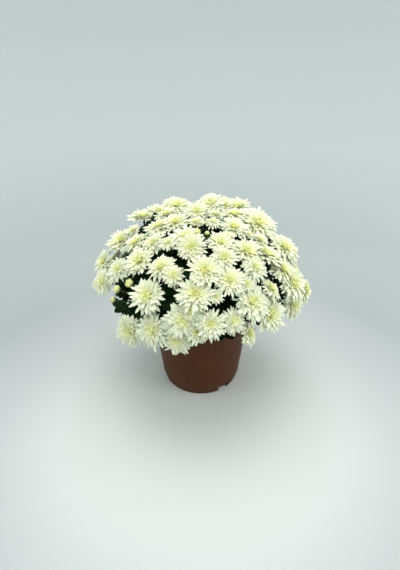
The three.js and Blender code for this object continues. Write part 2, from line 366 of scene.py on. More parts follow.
# A row of petals: how many, then the radius and height of its base and its length as shares of
# the head's radius, the slopes at its two ends in degrees, its width as such a share, how deeply
# it is cupped, and how yellow it is.
ROW_TERMS = ("count", "base", "lift", "length", "slope", "width", "cup", "warm")


def rows_of(*rows):
    return [dict(zip(ROW_TERMS, row)) for row in rows]


# The rows of a flower head, from the outside in.
PETAL_ROWS = rows_of(
    (24, 0.14, -0.12, 0.93, (0, -15), 0.170, 0.07, 0.00),
    (23, 0.13, -0.11, 0.86, (6, -9), 0.170, 0.07, 0.03),
    (22, 0.12, -0.10, 0.76, (12, -4), 0.165, 0.08, 0.08),
    (20, 0.10, -0.09, 0.66, (18, 2), 0.160, 0.09, 0.15),
    (18, 0.09, -0.08, 0.55, (25, 9), 0.150, 0.10, 0.25),
    (16, 0.08, -0.04, 0.44, (29, 16), 0.140, 0.12, 0.38),
    (13, 0.065, 0.00, 0.33, (34, 30), 0.130, 0.16, 0.50),
    (10, 0.045, 0.03, 0.23, (42, 62), 0.120, 0.20, 0.60),
    (7, 0.02, 0.06, 0.15, (55, 95), 0.110, 0.22, 0.66),
)

# Points over a petal, along it and across it from -1 to 1. Only the outer rows get finer grids.
PETAL_STATIONS = np.array([0.0, 0.15, 0.35, 0.58, 0.78, 0.93, 1.0])
PETAL_COLUMNS = np.array([-1.0, -0.5, 0.0, 0.5, 1.0])
INNER_STATIONS = np.array([0.0, 0.30, 0.62, 0.88, 1.0])
INNER_COLUMNS = np.array([-1.0, 0.0, 1.0])
FINE_STATION_ROWS = 4
FINE_COLUMN_ROWS = 1

# The form of a petal: its width at each station, and the rest as shares of its length or width.
PETAL_WIDTHS = np.array([0.40, 0.60, 0.86, 1.00, 0.98, 0.78, 0.26])
PETAL_THICKNESS = 0.4  # in millimetres
PETAL_TIP_ROUNDING = 0.07
PETAL_KEEL = 0.05
PETAL_SAG = 0.07

# How much petals of a row differ: the turn as a share of their spacing, the spans of factors,
# the slopes in degrees, and the twist and the swerve in radians.
PETAL_VARIETY = dict(turn=0.22, length=(0.80, 1.08), width=(0.85, 1.12), cup=(0.6, 1.5),
                     warm=(0.85, 1.15), first=4, last=13, twist=0.30, swerve=0.09)

# How many degrees the petals of an unopened head stand up more, and how much more at the tip.
CLOSING = 58
CLOSING_AT_TIP = 1.3

# Petals reach a little past the CAD's solid of a head, and on some heads more or less so.
PETAL_REACH = 1.08
PETAL_TRIM = dict(head_06=1.12, head_07=0.96, head_08=1.08, head_10=1.06, head_12=1.06,
                  head_14=1.10, head_16=1.15, head_20=0.93, head_21=0.97, head_22=1.10,
                  head_23=1.12, head_24=1.06, head_25=1.06, head_30=0.87, head_31=0.96,
                  head_32=1.08, head_33=1.12, head_34=1.05, head_37=1.12)

# How heads differ in colour, and what a fresher or a less open head changes.
HEAD_TONES = (-0.05, 0.07)
FRESH_OPENNESS = 0.12
FRESH_PALENESS = 0.15
UNOPENED_GREEN = 0.22

# The button in the middle of a head: its outline as shares of the head's radius.
BUTTON = np.array([(0.15, -0.02), (0.14, 0.05), (0.105, 0.10), (0.055, 0.13)])
BUTTON_TOP = 0.14
BUTTON_SIDES = 12


def draw_petals(row, radius, openness, rng):
    """The turn, size and shape of each petal of a row."""
    n = row["count"]
    vary = PETAL_VARIETY
    shift = rng.uniform(-vary["turn"], vary["turn"], n)
    closing = (1 - openness) * CLOSING
    closing_at_tip = closing * CLOSING_AT_TIP
    return dict(
        turn=(np.arange(n) + shift) * 2 * math.pi / n + rng.uniform(0, 6.28),
        length=radius * row["length"] * rng.uniform(*vary["length"], n),
        width=radius * row["width"] * rng.uniform(*vary["width"], n),
        first=np.radians(row["slope"][0] + closing + rng.normal(0, vary["first"], n)),
        last=np.radians(row["slope"][1] + closing_at_tip + rng.normal(0, vary["last"], n)),
        cup=row["cup"] * rng.uniform(*vary["cup"], n),
        twist=rng.normal(0, vary["twist"], n),
        swerve=rng.normal(0, vary["swerve"], n),
    )


def petal_spines(row, radius, petals, u):
    """The slope, the reach and the height of each petal at its stations."""
    first, last, length = petals["first"], petals["last"], petals["length"]
    slope = first[:, None] + (last - first)[:, None] * u ** 1.3
    middle = (slope[:, 1:] + slope[:, :-1]) / 2
    step = np.diff(u) * length[:, None]
    zero = np.zeros((len(length), 1))
    out = np.concatenate([zero, np.cumsum(step * np.cos(middle), 1)], 1)
    up = np.concatenate([zero, np.cumsum(step * np.sin(middle), 1)], 1)
    return slope, radius * row["base"] + out, radius * row["lift"] + up


def petal_surfaces(row, radius, petals, u, v):
    """The upper and the lower grid of each petal, for a head at the origin facing +z."""
    slope, reach, height = (line[:, :, None, None] for line in petal_spines(row, radius, petals, u))
    each = {term: values[:, None, None, None] for term, values in petals.items()}
    u = u[:, None, None]
    v = v[:, None]
    radial = RIGHT * np.cos(each["turn"]) + BACK * np.sin(each["turn"])
    sideways = BACK * np.cos(each["turn"]) - RIGHT * np.sin(each["turn"])
    along = radial * np.cos(slope) + UP * np.sin(slope)
    inner = -radial * np.sin(slope) + UP * np.cos(slope)
    roll = each["twist"] * u
    lateral = sideways * np.cos(roll) + inner * np.sin(roll)
    normal = inner * np.cos(roll) - sideways * np.sin(roll)

    half = each["width"] * np.interp(u, PETAL_STATIONS, PETAL_WIDTHS) / 2
    spine = radial * reach + UP * height
    spine = spine + sideways * (each["swerve"] * each["length"] * u ** 2)
    rounding = PETAL_TIP_ROUNDING * each["length"] * np.clip(u - 0.5, 0, 1) * 2
    keel = PETAL_KEEL * np.exp(-(v / 0.3) ** 2)
    top = spine + lateral * half * v - along * rounding * v ** 2
    top = top + normal * half * 2 * (each["cup"] * v ** 2 + keel)
    body = np.sin(math.pi * np.clip(u, 0.02, 0.98)) ** 0.5
    bottom = (top - normal * (PETAL_THICKNESS * MM) * body)[:, 1:-1, 1:-1]
    return top, bottom


def petal_row(row, radius, openness, u, v, rng):
    """The points and values of a row of petals, with u along a petal and v across it."""
    n = row["count"]
    petals = draw_petals(row, radius, openness, rng)
    top, bottom = petal_surfaces(row, radius, petals, u, v)
    warmth = row["warm"] * (1.15 - 0.45 * u) + 0.28 * (1 - u) ** 2.2
    warmth = np.clip(warmth * rng.uniform(*PETAL_VARIETY["warm"], (n, 1)), 0, 1)
    warm_top = np.repeat(warmth[:, :, None], len(v), 2)
    sag_top = np.repeat((petals["length"][:, None] * u ** 2)[:, :, None], len(v), 2)
    uv_top = np.stack(np.broadcast_arrays((v + 1) / 2, u[:, None]), -1)

    uv = np.tile(with_underside(uv_top[None])[0], (n, 1))
    return with_underside(top, bottom), with_underside(warm_top), uv, with_underside(sag_top)


def petal_faces(count, rows, columns):
    """The faces of a row of petals that have a grid of points on both sides."""
    each = rows * columns + (rows - 2) * (columns - 2)
    faces = blade_faces(rows, columns)[None] + each * np.arange(count)[:, None, None]
    return faces.reshape(-1, 4)


def add_petals(shell, head, rng):
    radius = head.spread / 2 * PETAL_REACH * PETAL_TRIM.get(head.name, 1.0)
    tone = rng.uniform(*HEAD_TONES)
    freshness = rng.uniform(-1, 1)
    openness = head.openness + FRESH_OPENNESS * freshness
    greener = UNOPENED_GREEN * (1 - head.openness)
    for i, row in enumerate(PETAL_ROWS):
        u = PETAL_STATIONS if i < FINE_STATION_ROWS else INNER_STATIONS
        v = PETAL_COLUMNS if i < FINE_COLUMN_ROWS else INNER_COLUMNS
        points, warm, uv, sag = petal_row(row, radius, openness, u, v, rng)
        world = placed(points, head.face, head.centre)
        world = world - UP * (PETAL_SAG * sag.reshape(-1, 1))
        warm = np.clip(warm.ravel() * (1 - FRESH_PALENESS * freshness) + tone + greener, 0, 1)
        shell.add(world, petal_faces(len(points), len(u), len(v)), warmth=warm, uv=uv)
    add_button(shell, head, radius)


def button_wobble(angle, share):
    return 1 + 0.08 * np.cos(6 * angle + 9 * share)


def add_button(shell, head, radius):
    """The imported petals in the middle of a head, as one small dome."""
    outline = BUTTON * radius
    points = turned_points(outline, BUTTON_SIDES, button_wobble)
    world = placed(points, head.face, head.centre)
    ends = head.centre + np.outer([outline[0, 1], BUTTON_TOP * radius], head.face)
    add_capped(shell, world, ends, BUTTON_SIDES, warmth=0.62)


# ------------ calyx and buds

# The calyx: its neck, its mouth as a share of the head's radius, where it starts and how far it
# rises as shares of the way up to the rim, and its ridges.
CALYX = dict(sides=16, tiers=6, neck=1.3, mouth=0.23, start=0.25, rise=0.62, ridges=8,
             ridge_depth=0.09)


def calyx_ridges(angle, share):
    return 1 + CALYX["ridge_depth"] * share * np.cos(CALYX["ridges"] * angle)


def add_calyx(shell, head):
    """The green cup of overlapping bracts between the stalk and the petals."""
    height = HEAD_RIM_SHARE * HEAD_DEPTH_SHARE * head.spread
    radius = head.spread / 2
    neck = CALYX["neck"] * MM
    t = np.linspace(0, 1, CALYX["tiers"])
    cup = neck + (CALYX["mouth"] * radius - neck) * np.sin(t * math.pi / 2) ** 1.2
    rise = height * (CALYX["start"] + CALYX["rise"] * t)
    outline = np.stack([cup, rise], -1)
    outside = turned_points(outline, CALYX["sides"], calyx_ridges)
    inside = turned_points(outline[::-2] * [0.8, 0.96], CALYX["sides"])
    rings = np.concatenate([outside, inside])
    ends = head.seat + np.outer([rise[0], rise[0] * 1.2], head.face)
    add_capped(shell, placed(rings, head.face, head.seat), ends, CALYX["sides"], young=0.5)


# The rows of a closed bud, and the rows of green bracts that hold it.
BUD_ROWS = rows_of(
    (9, 0.72, -0.62, 1.75, (60, 172), 0.62, 0.22, 0.85),
    (8, 0.62, -0.50, 1.50, (72, 160), 0.55, 0.24, 0.90),
    (7, 0.42, -0.30, 1.25, (84, 145), 0.46, 0.28, 0.95),
    (5, 0.20, -0.10, 0.95, (88, 125), 0.36, 0.30, 1.00),
)
BRACT_ROWS = rows_of(
    (9, 0.50, -0.82, 0.95, (28, 118), 0.50, 0.20, 0),
    (8, 0.46, -0.80, 1.15, (34, 128), 0.46, 0.20, 0),
)
# The ball inside a bud: its radius as a share of the bud's.
BUD_CORE = 0.72
BUD_RINGS = 9
BUD_SIDES = 16


def add_rosette(shell, centre, face, radius, rows, rng, **values):
    """Rows of petals round a centre, or of bracts, which have values of their own."""
    for row in rows:
        points, warm, uv, _ = petal_row(row, radius, 1.0, PETAL_STATIONS, PETAL_COLUMNS, rng)
        world = placed(points, face, centre)
        faces = petal_faces(len(points), len(PETAL_STATIONS), len(PETAL_COLUMNS))
        looks = values or dict(warmth=warm.ravel())
        shell.add(world, faces, uv=uv, **looks)


def add_bud(petals, greens, bearing, rise, size, rng):
    """A closed bud: petals folded over a ball, held in green bracts."""
    face = facing(bearing, rise)
    centre = dome_point(bearing, rise)
    radius = size / 2 * MM
    add_rosette(petals, centre, face, radius, BUD_ROWS, rng)
    add_rosette(greens, centre, face, radius, BRACT_ROWS, rng, young=0.8)
    t = np.linspace(0.08, 0.92, BUD_RINGS)
    core = radius * BUD_CORE
    outline = np.stack([core * np.sin(math.pi * t), -core * np.cos(math.pi * t)], -1)
    ball = placed(turned_points(outline, BUD_SIDES), face, centre)
    ends = np.stack([centre - face * core, centre + face * core])
    add_capped(petals, ball, ends, BUD_SIDES, warmth=0.8)


# ------------ stems and stalks

STEM_RINGS = 26
STEM_SIDES = 12
STALK_SIDES = 8
STALK_POINTS = 12
# Radii of a stalk where it leaves the stem and where it ends, which is a little swollen.
STALK_FOOT = 1.55
STALK_SWELLING = 0.25
HEAD_STALK = 1.15
BUD_STALK = 0.8
LEAF_STALK = 0.9


def bezier(points, count):
    t = np.linspace(0, 1, count)[:, None]
    a, b, c, d = points
    return a * (1 - t) ** 3 + 3 * b * t * (1 - t) ** 2 + 3 * c * t ** 2 * (1 - t) + d * t ** 3


def fork_below(k, height):
    """The highest fork of cutting k under a height, or else its lowest."""
    below = [fork for fork in FORK_HEIGHTS if fork < height]
    return stem_point(k, below[-1] if below else FORK_HEIGHTS[0])


def stalk_path(k, seat, face):
    """The line of a stalk from a fork of cutting k to the underside of a head or a bud."""
    fork = fork_below(k, seat[2] / MM - FORK_CLEARANCE)
    span = np.linalg.norm(fork - seat)
    leaving = outwards(stem_bearing(k)) * PEDICEL_START[0] + UP * PEDICEL_START[1]
    return bezier((fork, fork + leaving * PEDICEL_BEND[0] * span,
                   seat - face * PEDICEL_BEND[1] * span, seat), STALK_POINTS)


def add_main_stem(shell, k):
    """The upright stem of a cutting, which thins upwards and is thicker at its knots."""
    heights = np.linspace(SOIL_TOP - SOIL["pocket"], STEM["top"], STEM_RINGS)
    path = np.array([stem_point(k, height) for height in heights])
    share = np.clip((heights - SOIL_TOP) / (STEM["top"] - SOIL_TOP), 0, 1)
    knots = 1 + 0.10 * np.cos(heights * 0.42 + k) ** 8
    radii = STEM["radius"] * MM * (1.05 - 0.35 * share) * knots
    young = np.append(np.repeat(share, STEM_SIDES), [0, 1])
    add_tube(shell, path, radii, STEM_SIDES, young=young)


def add_stalk(shell, path, thin):
    share = np.linspace(0, 1, len(path))
    radii = MM * (STALK_FOOT - (STALK_FOOT - thin) * share ** 0.7 + STALK_SWELLING * share ** 8)
    young = 0.45 + 0.4 * np.append(np.repeat(share, STALK_SIDES), [0, 1])
    add_tube(shell, path, radii, STALK_SIDES, young=young)


# ------------ leaves

LEAF_ROWS = 25
LEAF_COLUMNS = np.array([-1.0, -0.45, 0.0, 0.45, 1.0])
LEAF_FACES = blade_faces(LEAF_ROWS, len(LEAF_COLUMNS))
LEAF_THICKNESS = 0.45
PETIOLE_SHARE = 0.2
LEAF_LOBES = 2.5
LOBE_START = 0.4
LOBE_DEPTH = 0.6
# How leaves differ: how far they bend down, fold along the midrib and tilt.
LEAF_BEND = (0.10, 0.30)
LEAF_FOLD = (0.10, 0.35)
LEAF_TILT = (-0.1, 0.1)


def blade_share(s):
    """The share along the blade at a share along the whole leaf."""
    return np.clip((s - PETIOLE_SHARE) / (1 - PETIOLE_SHARE), 0, 1)


def leaf_outline(s):
    """Half the leaf's width along its length: a stalk, then a blade with rounded lobes."""
    t = blade_share(s)
    envelope = np.clip(np.sin(math.pi * t ** 0.82), 0, 1) ** 0.55
    waves = np.abs(np.cos(math.pi * (t * LEAF_LOBES - LOBE_START))) ** 0.55
    lobes = 1 - LOBE_DEPTH + LOBE_DEPTH * waves
    teeth = 0.04 * np.cos(2 * math.pi * t * LEAF_LOBES * 3)
    return np.maximum(envelope * (lobes + teeth), 0.06 * (1 - 0.5 * s))


def leaf_form(s, v, length, width, rng):
    """The upper grid of a leaf that grows along x, with y across it."""
    half = width / 2 * leaf_outline(s)
    phase = 2 * math.pi * (blade_share(s) * LEAF_LOBES - LOBE_START) + rng.uniform(-0.4, 0.4)
    bend = rng.uniform(*LEAF_BEND)
    fold = rng.uniform(*LEAF_FOLD)
    x = s * length + 0.6 * np.abs(v) * half * (1 - 0.7 * s)
    y = v * half
    z = -bend * length * s ** 2 + fold * np.abs(v) * half + 0.16 * half * np.sin(phase) * v ** 2
    z = z + rng.uniform(*LEAF_TILT) * y
    return np.stack(np.broadcast_arrays(x, y, z), -1)


def add_leaf(shell, root, along, upper, length, width, rng):
    """One lobed leaf from its root, growing along one direction, with its upper side given."""
    s = np.linspace(0, 1, LEAF_ROWS)[:, None]
    v = LEAF_COLUMNS[None, :]
    form = leaf_form(s, v, length, width, rng)
    along = unit(along)
    upper = unit(upper - along * (upper @ along))
    side = np.cross(upper, along)
    top = root + form @ np.stack([along, side, upper])
    ridge = LEAF_THICKNESS * MM * (1 + 1.6 * np.exp(-(LEAF_COLUMNS / 0.15) ** 2))
    bottom = (top - upper * ridge[None, :, None])[1:-1, 1:-1]
    points = with_underside(top[None], bottom[None])[0]
    uv = with_underside(np.stack(np.broadcast_arrays((v + 1) / 2, s), -1)[None])[0]
    under = np.repeat([0.0, 1.0], [top[..., 0].size, bottom[..., 0].size])
    shell.add(points, LEAF_FACES, uv=uv, under=under, shade=rng.uniform(0, 1))


# The leaves on a stalk: where they grow along it, how long they are, and how wide as a share of
# that. The tip stays within a share of the dome and clear of the pot.
LEAF_PLACES = (0.34, 0.62, 0.86)
LEAF_LENGTHS = (30, 44)
LEAF_WIDTHS = (0.5, 0.64)
LEAF_LIMIT = 0.93
LEAF_CLEARANCE = 4
LEAF_TRIES = 7
LOW_REACH = 60  # of the dome, below its widest level


def dome_share(point):
    """How far out a point lies: 0 in the middle of the dome of flowers and 1 on it."""
    height = point[2] / MM - DOME["level"]
    reach = DOME["rise"] if height > 0 else LOW_REACH
    return math.hypot(math.hypot(point[0], point[1]) / MM / DOME["radius"], height / reach)


def fit_leaf(root, stalk, roll, rng):
    """Turns and shortens a leaf until it fits: its direction and length."""
    side = across(stalk)
    other = np.cross(stalk, side)
    length = rng.uniform(*LEAF_LENGTHS) * MM
    for _ in range(LEAF_TRIES):
        away = side * math.cos(roll) + other * math.sin(roll)
        along = unit(away + stalk * rng.uniform(0.25, 0.7))
        tip = root + along * length
        if dome_share(tip) < LEAF_LIMIT and tip[2] > (POT["height"] + LEAF_CLEARANCE) * MM:
            return along, length
        roll += 0.9
        length *= 0.93
    return None


def add_leaves_on(shell, path, serial, rng):
    """Leaves set spirally along a stalk, kept just inside the dome of flowers."""
    for j, place in enumerate(LEAF_PLACES):
        spot = int(place * (len(path) - 1))
        root = path[spot]
        stalk = unit(path[spot + 1] - path[spot - 1])
        fitted = fit_leaf(root, stalk, GOLDEN_ANGLE * (j + 5 * serial), rng)
        if fitted is None:
            continue
        along, length = fitted
        upper = unit(stalk + UP * 0.8 + outwards(bearing_of(root)) * 0.5)
        add_leaf(shell, root, along, upper, length, length * rng.uniform(*LEAF_WIDTHS), rng)


# The lowest leaves, in tiers round the rim of the pot: how many on a cutting, then the radius
# and height of the root and of the tip.
SKIRT_TIERS = ((8, (47, 123), (90, 127)), (6, (40, 127), (77, 114)), (5, (30, 121), (66, 112)))
SKIRT_WIDTH = 0.62


def add_skirt_leaves(shell, k, rng):
    """Leaves that hang out over the rim of the pot and hide the foot of the stems."""
    for tier, (count, inner, outer) in enumerate(SKIRT_TIERS):
        for i in range(count):
            turn = (i + 0.5 + 0.3 * tier) / count - 0.5
            bearing = stem_bearing(k) + turn * 360 / STEM["count"] + rng.uniform(-3, 3)
            root = point_at(bearing + rng.uniform(-6, 6), inner[0], inner[1] + rng.uniform(-2, 3))
            tip = point_at(bearing, outer[0] - rng.uniform(0, 7), outer[1] + rng.uniform(-1, 5))
            growth = tip - root
            length = np.linalg.norm(growth)
            upper = UP + 0.6 * outwards(bearing)
            add_leaf(shell, root, growth, upper, length, length * SKIRT_WIDTH, rng)


# Leaves that show between the flowers: bearing, radius and height of the root and of the tip,
# then the width of the blade.
SHOWN_LEAVES = (
    ((-47, 90, 129), (-58, 109, 147), 19), ((-60, 72, 138), (-66, 97, 147), 24),
    ((-38, 82, 122), (-50, 104, 134), 24), ((-58, 66, 156), (-70, 99, 163), 26),
    ((-44, 60, 166), (-56, 92, 171), 26), ((-34, 54, 172), (-42, 86, 179), 26),
    ((-20, 40, 184), (-38, 66, 195), 26), ((-14, 42, 184), (-27, 70, 193), 24),
    ((-4, 48, 180), (-13, 78, 185), 24), ((-12, 68, 163), (-20, 97, 167), 24),
    ((9, 62, 158), (14, 92, 161), 24), ((48, 62, 160), (52, 92, 165), 24),
    ((-36, 70, 140), (-33, 98, 146), 24), ((-36, 70, 118), (-52, 98, 138), 30),
    ((60, 60, 148), (65, 99, 154), 30), ((44, 58, 168), (50, 85, 184), 26),
    ((-100, 46, 188), (-113, 73, 200), 32), ((-90, 56, 190), (-118, 70, 204), 34),
    ((-112, 50, 178), (-116, 78, 190), 30), ((-132, 50, 178), (-136, 78, 190), 30),
    ((-152, 50, 178), (-154, 76, 192), 28), ((-124, 60, 160), (-126, 92, 170), 30),
    ((-106, 62, 156), (-108, 95, 164), 30), ((52, 62, 132), (62, 96, 143), 26),
)


# ------------ pot and potting mix

POT_SIDES = 160
POT_SHARP_ANGLE = 38


def wall_radius(height):
    return POT["base"] + (POT["top"] - POT["base"]) / POT["height"] * height


def rounded(corners, steps=4):
    """An outline of (radius, height, rounding) with its corners made round."""
    out = []
    for i, (r, z, soft) in enumerate(corners):
        if not soft:
            out.append((r, z))
            continue
        here = np.array([r, z], float)
        before = np.array(corners[i - 1][:2], float) - here
        after = np.array(corners[i + 1][:2], float) - here
        a = here + before * min(0.49, soft / np.linalg.norm(before))
        b = here + after * min(0.49, soft / np.linalg.norm(after))
        for t in np.linspace(0, 1, steps + 1):
            out.append(tuple(a * (1 - t) ** 2 + 2 * here * t * (1 - t) + b * t ** 2))
    return np.array(out)


def pot_outline():
    """The pot's section, from under its floor round the foot, up outside and down inside."""
    foot = POT["base"] - POT["foot_inset"]
    foot_top = POT["foot"]
    collar_foot = POT["height"] - POT["collar"]
    collar = POT["top"] + POT["collar_proud"]
    top = POT["height"]
    lip = wall_radius(top) - POT["wall"]
    floor_top = POT["foot"] + POT["floor"]
    inner_foot = wall_radius(floor_top + 2) - POT["wall"]
    return rounded([
        (foot - POT["foot_width"], foot_top, 0.4),
        (foot - POT["foot_width"], 0, 0.3),
        (foot, 0, 0.5),
        (foot + 0.5, foot_top - 0.6, 0.4),
        (wall_radius(foot_top), foot_top + 0.6, 0.5),
        *[(wall_radius(height), height, 0) for height in (9, 12, 16, 40, 70)],
        (wall_radius(collar_foot), collar_foot, 0.3),
        (collar - 0.2, collar_foot + 0.8, 0.4),
        (collar, top - 0.7, 0.3),
        (collar - 0.7, top, 0.5),
        (lip + 0.5, top, 0.3),
        (lip - 0.1, top - 0.8, 0.3),
        (inner_foot, floor_top + 2, 1.5),
        (inner_foot - 2, floor_top, 0),
    ])


def cutter(bearing, width, inner, outer, low, high):
    """A box at a bearing, for cutting the pot."""
    angle = math.radians(bearing)
    side = np.array([math.cos(angle), math.sin(angle), 0])
    points = []
    for x, y, z in itertools.product((-width / 2, width / 2), (inner, outer), (low, high)):
        points.append((side * x + outwards(bearing) * y + UP * z) * MM)
    quads = [(0, 2, 3, 1), (4, 5, 7, 6), (0, 1, 5, 4), (2, 6, 7, 3), (0, 4, 6, 2), (1, 3, 7, 5)]
    mesh = bpy.data.meshes.new("cutter")
    mesh.from_pydata(points, [], quads)
    return add_object("cutter", mesh)


def notch_and_drain(bearing):
    """The boxes that cut a notch out of the foot and the drain hole over it."""
    inner = POT["base"] - POT["foot_inset"] - POT["foot_width"] - 2
    return [
        cutter(bearing, NOTCH_WIDTH, inner, POT["base"] + 2, -1, POT["foot"]),
        cutter(bearing + DRAIN["turn"], DRAIN["width"], DRAIN["inner"], DRAIN["outer"],
               POT["foot"] - 1, DRAIN["height"]),
    ]


def cut(piece, boxes):
    """Cuts boxes out of a mesh and keeps the result as plain geometry."""
    for box in boxes:
        change = piece.modifiers.new("cut", "BOOLEAN")
        change.operation = "DIFFERENCE"
        change.object = box
        change.solver = "EXACT"
    bpy.context.view_layer.update()
    depsgraph = bpy.context.evaluated_depsgraph_get()
    result = bpy.data.meshes.new_from_object(piece.evaluated_get(depsgraph))
    piece.modifiers.clear()
    piece.data = result
    for box in boxes:
        bpy.data.objects.remove(box)


def build_pot(material):
    shell = Shell()
    outline = pot_outline() * MM
    ends = np.outer([POT["foot"], POT["foot"] + POT["floor"]], UP) * MM
    add_capped(shell, turned_points(outline, POT_SIDES), ends, POT_SIDES)
    pot = shell.build("nursery_pot", material, "pot_plastic")
    cut(pot, [box for bearing in NOTCH_BEARINGS for box in notch_and_drain(bearing)])
    pot.data.set_sharp_from_angle(angle=math.radians(POT_SHARP_ANGLE))
    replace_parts(pot, "pot")


SOIL_SIDES = 96
SOIL_RINGS = 26
SMOOTH_RINGS = 6  # where the pot holds the mix
SOIL_SEED = 41
CRUMB_COUNT = 300
CRUMB_SIZES = (0.8, 2.4)
CRUMB_ANGLES = np.array([0.6, 1.5, 2.5])
CRUMB_SIDES = 6


def soil_height(reach, edge):
    return SOIL["edge"] + SOIL["crown"] * (1 - (reach / edge) ** 2)


def build_potting_mix(material):
    rng = np.random.default_rng(SOIL_SEED)
    floor = POT["foot"] + POT["floor"] + SEATING_GAP
    edge = wall_radius(SOIL["edge"]) - POT["wall"] - SEATING_GAP
    low = wall_radius(floor) - POT["wall"] - SEATING_GAP - 2
    side = [(wall_radius(z) - POT["wall"] - SEATING_GAP, z) for z in (40, 70, SOIL["edge"] - 2)]
    radii = np.linspace(edge, 1.5, SOIL_RINGS)
    top = np.stack([radii, soil_height(radii, edge)], -1)
    outline = np.concatenate([[(low, floor), (low + 2, floor + 2)], side, top]) * MM
    rings = turned_points(outline, SOIL_SIDES)
    count = len(outline)
    crumbs = rng.normal(0, 0.55, (count, SOIL_SIDES)) + 0.8 * rng.normal(0, 1, (count, 1))
    crumbs[:SMOOTH_RINGS] = 0
    rings[:, 2] += crumbs.ravel() * MM * 0.8
    shell = Shell()
    add_capped(shell, rings, np.outer([floor, SOIL_TOP], UP) * MM, SOIL_SIDES)
    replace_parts(shell.build("root_ball", material, "potting_mix"), "potting_mix")
    build_crumbs(material, edge, rng)


def build_crumbs(material, edge, rng):
    """Loose crumbs and fibres of peat lying on top of the potting mix."""
    shell = Shell()
    for _ in range(CRUMB_COUNT):
        reach = edge * 0.95 * math.sqrt(rng.uniform(0, 1))
        height = soil_height(reach, edge) + rng.uniform(-0.2, 1.0)
        centre = point_at(rng.uniform(0, 360), reach, height)
        size = rng.uniform(*CRUMB_SIZES) * MM
        outline = np.stack([size * np.sin(CRUMB_ANGLES), -size * 0.8 * np.cos(CRUMB_ANGLES)], -1)
        lump = turned_points(outline, CRUMB_SIDES) * rng.uniform(0.7, 1.3, 3)
        ends = np.outer([-size * 0.8, size * 0.8], UP)
        add_capped(shell, lump + centre, ends + centre, CRUMB_SIDES)
    shell.build("peat_crumbs", material, "potting_mix")


# ------------ materials

class Paint:
    """A material with a principled shader, and short ways to add its nodes."""

    def __init__(self, name, **settings):
        self.material = bpy.data.materials.new(name)
        self.material.use_nodes = True
        self.tree = self.material.node_tree
        self.shader = self.tree.nodes["Principled BSDF"]
        for socket, value in settings.items():
            self.shader.inputs[socket.replace("_", " ")].default_value = value

    def add(self, kind, inputs=(), **settings):
        node = self.tree.nodes.new("ShaderNode" + kind)
        for key, value in settings.items():
            setattr(node, key, value)
        for key, value in dict(inputs).items():
            self.feed(node.inputs[key], value)
        return node

    def feed(self, socket, value):
        if isinstance(value, bpy.types.NodeSocket):
            self.tree.links.new(value, socket)
        else:
            socket.default_value = value

    def done(self, colour, normal, roughness):
        self.feed(self.shader.inputs["Base Color"], colour)
        self.feed(self.shader.inputs["Normal"], normal)
        self.feed(self.shader.inputs["Roughness"], roughness)
        return self.material

    def value(self, name):
        return self.add("Attribute", attribute_name=name).outputs["Fac"]

    def noise(self, scale, detail=3.0, where=None, roughness=0.5):
        node = self.add("TexNoise", {"Scale": scale, "Detail": detail, "Roughness": roughness})
        self.feed(node.inputs["Vector"], where or self.add("TexCoord").outputs["Object"])
        return node.outputs["Fac"]

    def ramp(self, factor, stops):
        node = self.add("ValToRGB", {"Fac": factor})
        ramp = node.color_ramp
        while len(ramp.elements) < len(stops):
            ramp.elements.new(0.5)
        for element, (place, colour) in zip(ramp.elements, stops):
            element.position = place
            element.color = (*colour, 1)
        return node.outputs["Color"]

    def mix(self, factor, first, second):
        node = self.add("Mix", data_type="RGBA")
        self.feed(node.inputs["Factor"], factor)
        for socket, value in ((node.inputs[6], first), (node.inputs[7], second)):
            self.feed(socket, (*value, 1) if isinstance(value, tuple) else value)
        return node.outputs[2]

    def math(self, operation, first, second=0.0):
        node = self.add("Math", operation=operation)
        for socket, value in zip(node.inputs, (first, second)):
            self.feed(socket, value)
        return node.outputs[0]

    def times(self, first, second):
        return self.math("MULTIPLY", first, second)

    def span(self, value, low, high, to_low, to_high):
        node = self.add("MapRange", {"Value": value, "From Min": low, "From Max": high,
                                     "To Min": to_low, "To Max": to_high})
        return node.outputs[0]

    def bump(self, height, strength, distance, under=None):
        node = self.add("Bump", {"Height": height, "Strength": strength, "Distance": distance})
        if under is not None:
            self.feed(node.inputs["Normal"], under)
        return node.outputs["Normal"]

    def grain(self):
        """Position across and along a petal, leaf or stalk, each from 0 to 1."""
        split = self.add("SeparateXYZ", {"Vector": self.add("UVMap", uv_map="grain").outputs["UV"]})
        return split.outputs["X"], split.outputs["Y"]


def petal_paint():
    paint = Paint("petal", Roughness=0.6, Subsurface_Weight=0.2, Subsurface_Scale=0.0008,
                  Subsurface_Radius=(1.0, 0.95, 0.6), Specular_IOR_Level=0.25)
    warmth = paint.value("warmth")
    mottled = paint.math("ADD", warmth, paint.span(paint.noise(260), 0.3, 0.7, -0.05, 0.05))
    colour = paint.ramp(mottled, [
        (0.0, (0.88, 0.935, 0.70)),
        (0.16, (0.96, 0.985, 0.72)),
        (0.40, (0.96, 0.975, 0.58)),
        (0.72, (0.96, 0.96, 0.42)),
        (1.0, (0.72, 0.76, 0.27)),
    ])
    cross, along = paint.grain()
    ribs = paint.math("SINE", paint.times(cross, 2 * math.pi * 5))
    vein = paint.span(ribs, -1, 1, 0.0, 0.06)
    veined = paint.mix(vein, colour, (0.70, 0.74, 0.42))
    # Petal bases are greener and darker: partly their own green, partly painted shade where they
    # lie under the petals of the row above.
    base_green_and_shade = paint.math("POWER", paint.math("SUBTRACT", 1.0, along), 1.6)
    greener = paint.times(base_green_and_shade, 0.25)
    colour = paint.mix(greener, veined, (0.84, 0.87, 0.40))
    fine = paint.noise(900, 2)
    normal = paint.bump(ribs, 0.35, 0.00012, paint.bump(fine, 0.2, 0.0001))
    return paint.done(colour, normal, paint.span(fine, 0.3, 0.7, 0.48, 0.62))


